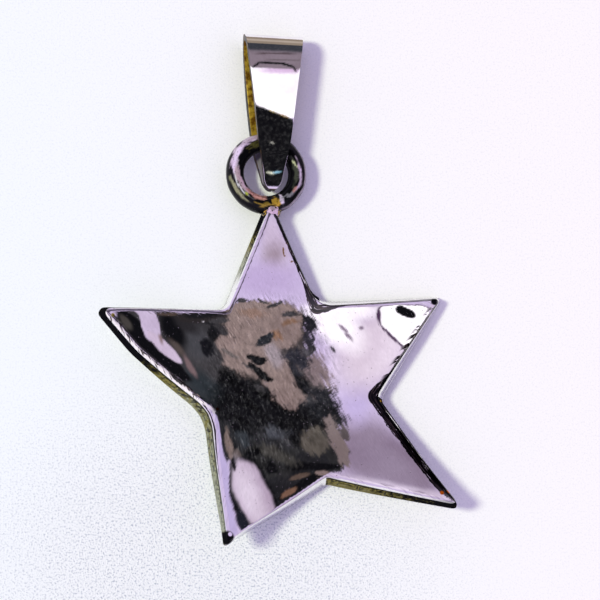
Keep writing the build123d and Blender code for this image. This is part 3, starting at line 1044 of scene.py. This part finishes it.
# Tarnish, painted reflections and painted glints along the ring's wire: the first two numbers are how
# far round from the joint, turning left, and how far out from the middle of the wire.
WIRE_PATCHES = (
    Patch(8.65, 0.36, 1.70, 0.22, -6, 3, paint(190, 172, 192), 0.20, 0.7),
    Patch(9.80, 0.12, 1.30, 0.22, -12, 2, paint(238, 222, 244), 0.25, 0.6),
    Patch(11.30, -0.24, 1.50, 0.20, -9, 2, paint(230, 200, 212), 0.25, 0.6),
    Patch(11.40, 0.04, 1.10, 0.06, -5, 2, paint(255, 255, 255), 0.30, 0.3),
    Patch(11.50, 0.33, 0.95, 0.12, -4, 2, paint(156, 156, 122), 0.25, 0.5),
    Patch(12.10, -0.06, 0.17, 0.09, 0, 2, paint(232, 244, 96), 0.30, 0.2),
    Patch(12.95, -0.40, 0.90, 0.20, -4, 2, paint(210, 154, 142), 0.25, 1.0),
    Patch(13.55, 0.10, 0.40, 0.20, 0, 2, paint(150, 124, 50), 0.30, 1.2),
    Patch(7.60, -0.10, 0.50, 0.20, 0, 2, paint(96, 92, 50), 0.40, 1.4),
    Patch(0.35, -0.05, 0.35, 0.30, 0, 2, paint(200, 160, 60), 0.30, 1.0),
    Patch(0.80, -0.10, 0.14, 0.40, 15, 2, paint(236, 222, 242), 0.30, 0.5),
    Patch(1.50, 0.00, 0.50, 0.12, 20, 2, paint(150, 148, 156), 0.30, 1.2),
    Patch(2.10, 0.10, 0.30, 0.10, 10, 2, paint(210, 154, 146), 0.30, 0.7),
    Patch(3.10, 0.14, 1.00, 0.12, -4, 2, paint(222, 200, 228), 0.30, 0.8),
    Patch(3.50, -0.20, 1.20, 0.14, -4, 2, paint(84, 88, 76), 0.30, 0.8),
    Patch(4.00, -0.18, 0.36, 0.06, -18, 2, paint(244, 250, 200), 0.30, 0.2),
    Patch(2.60, 0.56, 1.80, 0.07, 0, 4, paint(150, 136, 156), 0.30, 0.5),
)
# The sheet's size, its middle and its squares
Sheet = namedtuple("Sheet", "wide long x y cells_x cells_y")
SHEET = Sheet(31, 50, 2, 5.5, 413, 667)
# How high the sheet lies over the star's front, and over the floor where it covers the bail
SHEET_GAP = 2.5
BAIL_TOP = 2.52
# Where it leaves the star and where it lies over the bail, and where it comes down beyond the fold
STAR_END = 5.5
BAIL_START = 8.0
FOLD_END = 21.0
# Where the ring is soldered to the star
JOINT = STAR_PLACE + top_point()


def strokes(points, lay, scale):
    """Noise drawn out along one direction, for hairlines and smears."""
    stretch = Matrix.Diagonal((*scale, 1.0)) @ Matrix.Rotation(math.radians(-lay), 3, "Z")
    return np.array([noise.noise(stretch @ point) for point in points])


def patch_shares(patch, place, hatch):
    """How much of a patch's colour each point has."""
    turn = math.radians(patch.turn)
    x, y = place[:, 0] - patch.x, place[:, 1] - patch.y
    along = (x * math.cos(turn) + y * math.sin(turn)) / patch.long
    across = (y * math.cos(turn) - x * math.sin(turn)) / patch.wide
    reach = (abs(along) ** patch.square + abs(across) ** patch.square) ** (1 / patch.square)
    return smooth((1 + patch.soft - reach - patch.ragged * hatch) / (2 * patch.soft))[:, None]


def painted(points, patches, ground, warp, hatch):
    """Colours of patches laid one over the other on a ground, with uneven and ragged edges."""
    wide = np.array([noise.noise_vector(point) for point in points])
    fine = np.array([noise.noise_vector(3.2 * point) for point in points])
    place = np.array(points) + warp * (wide + 0.45 * fine)
    colours = np.tile(ground[:3], (len(points), 1))
    for patch in patches:
        share = patch_shares(patch, place, hatch)
        colours = colours + share * (np.array(patch.colour[:3]) - colours)
    return colours


def sheet_colours(points):
    """The sheet's colours, with hairlines in the middle and over the bail, and smears in dark places."""
    x, y = np.array(points)[:, 0], np.array(points)[:, 1]
    middle = np.exp(-((((x - 0.9) / 5.2) ** 2 + ((y + 6.2) / 6.4) ** 2) ** 2))
    strap = 1 / (1 + np.exp(-8 * (y - 6.0)))
    hatch = (0.20 + 0.85 * middle) * strokes(points, -60, (1.3, 10.0))
    warp = (0.06 + 0.12 * middle - 0.03 * strap)[:, None]
    colours = painted(points, PATCHES + STRAP_PATCHES, LILAC, warp, hatch)
    right, left = strokes(points, -58, (3.5, 13.0)), strokes(points, -75, (3.5, 12.0))
    hairs = np.where(x + 0.2 * y > 0.4, right, left)
    cross = strokes(points, 35, (3.0, 13.0))
    smears = strokes(points, -35, (0.55, 1.7)) + 0.5 * strokes(points, -35, (1.6, 4.0))
    dark = np.clip(1 - colours.mean(axis=1) / 0.25, 0, 1)
    shift = 1 + (0.10 + 0.55 * dark * middle) * hairs + 0.9 * dark * smears * middle
    gleam = middle * np.clip(hairs - 0.12, 0, 1)
    gleam = 0.05 * dark * (gleam + 3 * strap * np.clip(np.maximum(hairs, cross) - 0.28, 0, 1))
    return np.clip(colours * shift[:, None] + gleam[:, None], 0, None)


def sheet_height(x, y):
    """The sheet follows the star's front, lies level over the bail and comes down beyond its fold."""
    # The star's form is followed a little way beyond it, and no further
    over_star = back_height(max(-15, min(15, x - STAR_PLACE.x)), max(-15, min(13, y - STAR_PLACE.y)))
    share = smooth((y - STAR_END) / (BAIL_START - STAR_END))
    height = (1 - share) * (over_star + PLATE_THICK) + share * BAIL_TOP + SHEET_GAP
    return max(0.05, height - max(0.0, y - FOLD_END))


def sheet_finish():
    """The painted colours with finer hairlines than the sheet's points can carry, which gleam."""
    shade = Shade("reflections")
    middle = 1 - shade.away((0.3, -6.0), (4.8, 6.2)).ramp(0.75, 1.0)
    hairs = shade.cloud(shade.fit((0.9, 0.045, FLAT), -60), 2.0, 0.6)
    crossed = shade.cloud(shade.fit((0.7, 0.04, FLAT), -76), 2.0, 0.6)
    shift = 1 + (3.0 * (hairs - 0.5) + 2.2 * (crossed - 0.5)) * (0.10 + 0.90 * middle)
    colour = shade.mix(shade.painted_colour("sheet_colour"), shift, 1.0, "MULTIPLY")
    gleam = (hairs.ramp(0.62, 0.72) + crossed.ramp(0.64, 0.74)) * middle * 0.16
    return shade.light(shade.mix(colour, gleam, 1.0, "ADD"))


def reflected_sheet():
    """A sheet just above the pendant that only the polish sees, with pale, brown and dark patches."""
    bm = bmesh.new()
    bmesh.ops.create_grid(bm, x_segments=SHEET.cells_x, y_segments=SHEET.cells_y, size=0.5)
    bmesh.ops.scale(bm, vec=(SHEET.wide, SHEET.long, 1), verts=bm.verts[:])
    bmesh.ops.translate(bm, vec=(SHEET.x, SHEET.y, 0), verts=bm.verts[:])
    points = [vert.co.copy() for vert in bm.verts]
    for vert in bm.verts:
        vert.co.z = sheet_height(vert.co.x, vert.co.y)
        vert.co *= MM
    mesh = end_mesh(bm, "reflection_sheet", [sheet_finish()])
    colours = np.hstack((sheet_colours(points), np.ones((len(points), 1))))
    mesh.attributes.new("sheet_colour", "FLOAT_COLOR", "POINT").data.foreach_set("color", colours.ravel())
    mesh.shade_smooth()
    sheet = add_object("reflection_sheet", mesh)
    sheet.visible_camera = False
    sheet.visible_diffuse = False
    sheet.visible_shadow = False
    sheet.visible_transmission = False


def floor_finish():
    """A pale floor, bluer at the left, with coarser grain round the end of the lower left arm."""
    shade = Shade("pale_floor")
    x, y = shade.plan()
    tint = (x * 0.018 + y * 0.006 + 0.5).ramp(0.0, 1.0)
    grain = shade.grain(0.14, 3.0, 0.7)
    rough = 1 - shade.away((-5.0, -20.5), (14, 11)).ramp(0.35, 1.65)
    colour = shade.mix((0.89, 0.94, 0.97, 1), (0.95, 0.92, 0.94, 1), tint)
    colour = shade.mix(colour, (0.96, 0.98, 1.00, 1), rough * 0.8)
    colour = shade.mix(colour, (0.44, 0.49, 0.58, 1), grain.ramp(0.50, 0.66) * (0.15 + 0.80 * rough))
    return shade.surface(colour, 0.9, shade.bump(grain * (0.15 + 0.85 * rough), 0.6, 0.20), 0.0, 0.1)


def floor():
    bm = bmesh.new()
    bmesh.ops.create_grid(bm, x_segments=1, y_segments=1, size=3.0)
    add_object("floor", end_mesh(bm, "floor", [floor_finish()]))


def sun():
    """A soft sun from the left, which the metal doesn't mirror."""
    lamp = add_object("sun", bpy.data.lights.new("sun", "SUN"))
    lamp.data.energy = 2.25
    lamp.data.angle = math.radians(10)
    lamp.data.color = (0.93, 1.0, 0.70)
    lamp.rotation_euler = (0, math.radians(-39), 0)
    lamp.visible_glossy = False


def surroundings():
    """Soft lilac light all round, and what the metal mirrors of the room: dark, with a pale side."""
    world = bpy.data.worlds.new("studio")
    bpy.context.scene.world = world
    world.use_nodes = True
    shade = Shade("room", world.node_tree)
    way = shade.node("ShaderNodeTexCoord").outputs["Generated"]
    pale_side = (-0.75, -0.55, 0.35)
    toward = shade.node("ShaderNodeVectorMath", {"operation": "DOT_PRODUCT"}, {0: way, 1: pale_side})
    pale = Number(shade, toward.outputs["Value"]).ramp(-0.40, 0.24)
    seen = shade.mix((0.06, 0.055, 0.07, 1), (0.95, 0.92, 1.0, 1), pale)
    mirrored = shade.node("ShaderNodeBackground", {}, {"Color": seen, "Strength": 1.0})
    soft = shade.node("ShaderNodeBackground", {}, {"Color": (0.67, 0.59, 0.87, 1), "Strength": 0.80})
    glossy = shade.node("ShaderNodeLightPath").outputs["Is Glossy Ray"]
    both = shade.node("ShaderNodeMixShader", {}, {0: glossy, 1: soft.outputs[0], 2: mirrored.outputs[0]})
    shade.node("ShaderNodeOutputWorld", {}, {"Surface": both.outputs[0]})


def camera():
    """Looks down from a little to the left and below, as the photograph does."""
    aim = Vector((1.916, -0.58, 0.0)) * MM
    distance = 0.2
    leftward, downward = math.radians(10), math.radians(7.5)
    back = Vector((-math.tan(leftward), -math.tan(downward), 1)).normalized()
    up = (Vector((0, 1, 0)) - back * back.y).normalized()
    right = up.cross(back)
    data = bpy.data.cameras.new("camera")
    data.sensor_width = 36
    data.lens = 168
    data.clip_start = 0.01
    data.clip_end = 10
    eye = add_object("camera", data)
    turn = Matrix((right, up, back)).transposed().to_4x4()
    eye.matrix_world = Matrix.Translation(aim + back * distance) @ turn
    bpy.context.scene.camera = eye


star_plate([face_finish(), wall_finish()])
jump_ring([ring_finish()])
solder_joint([solder_finish()])
strap_bail([strap_finish(), inside_finish(), strap_edge_finish()])
reflected_sheet()
floor()
sun()
surroundings()
camera()
bpy.context.scene.view_settings.view_transform = "Standard"
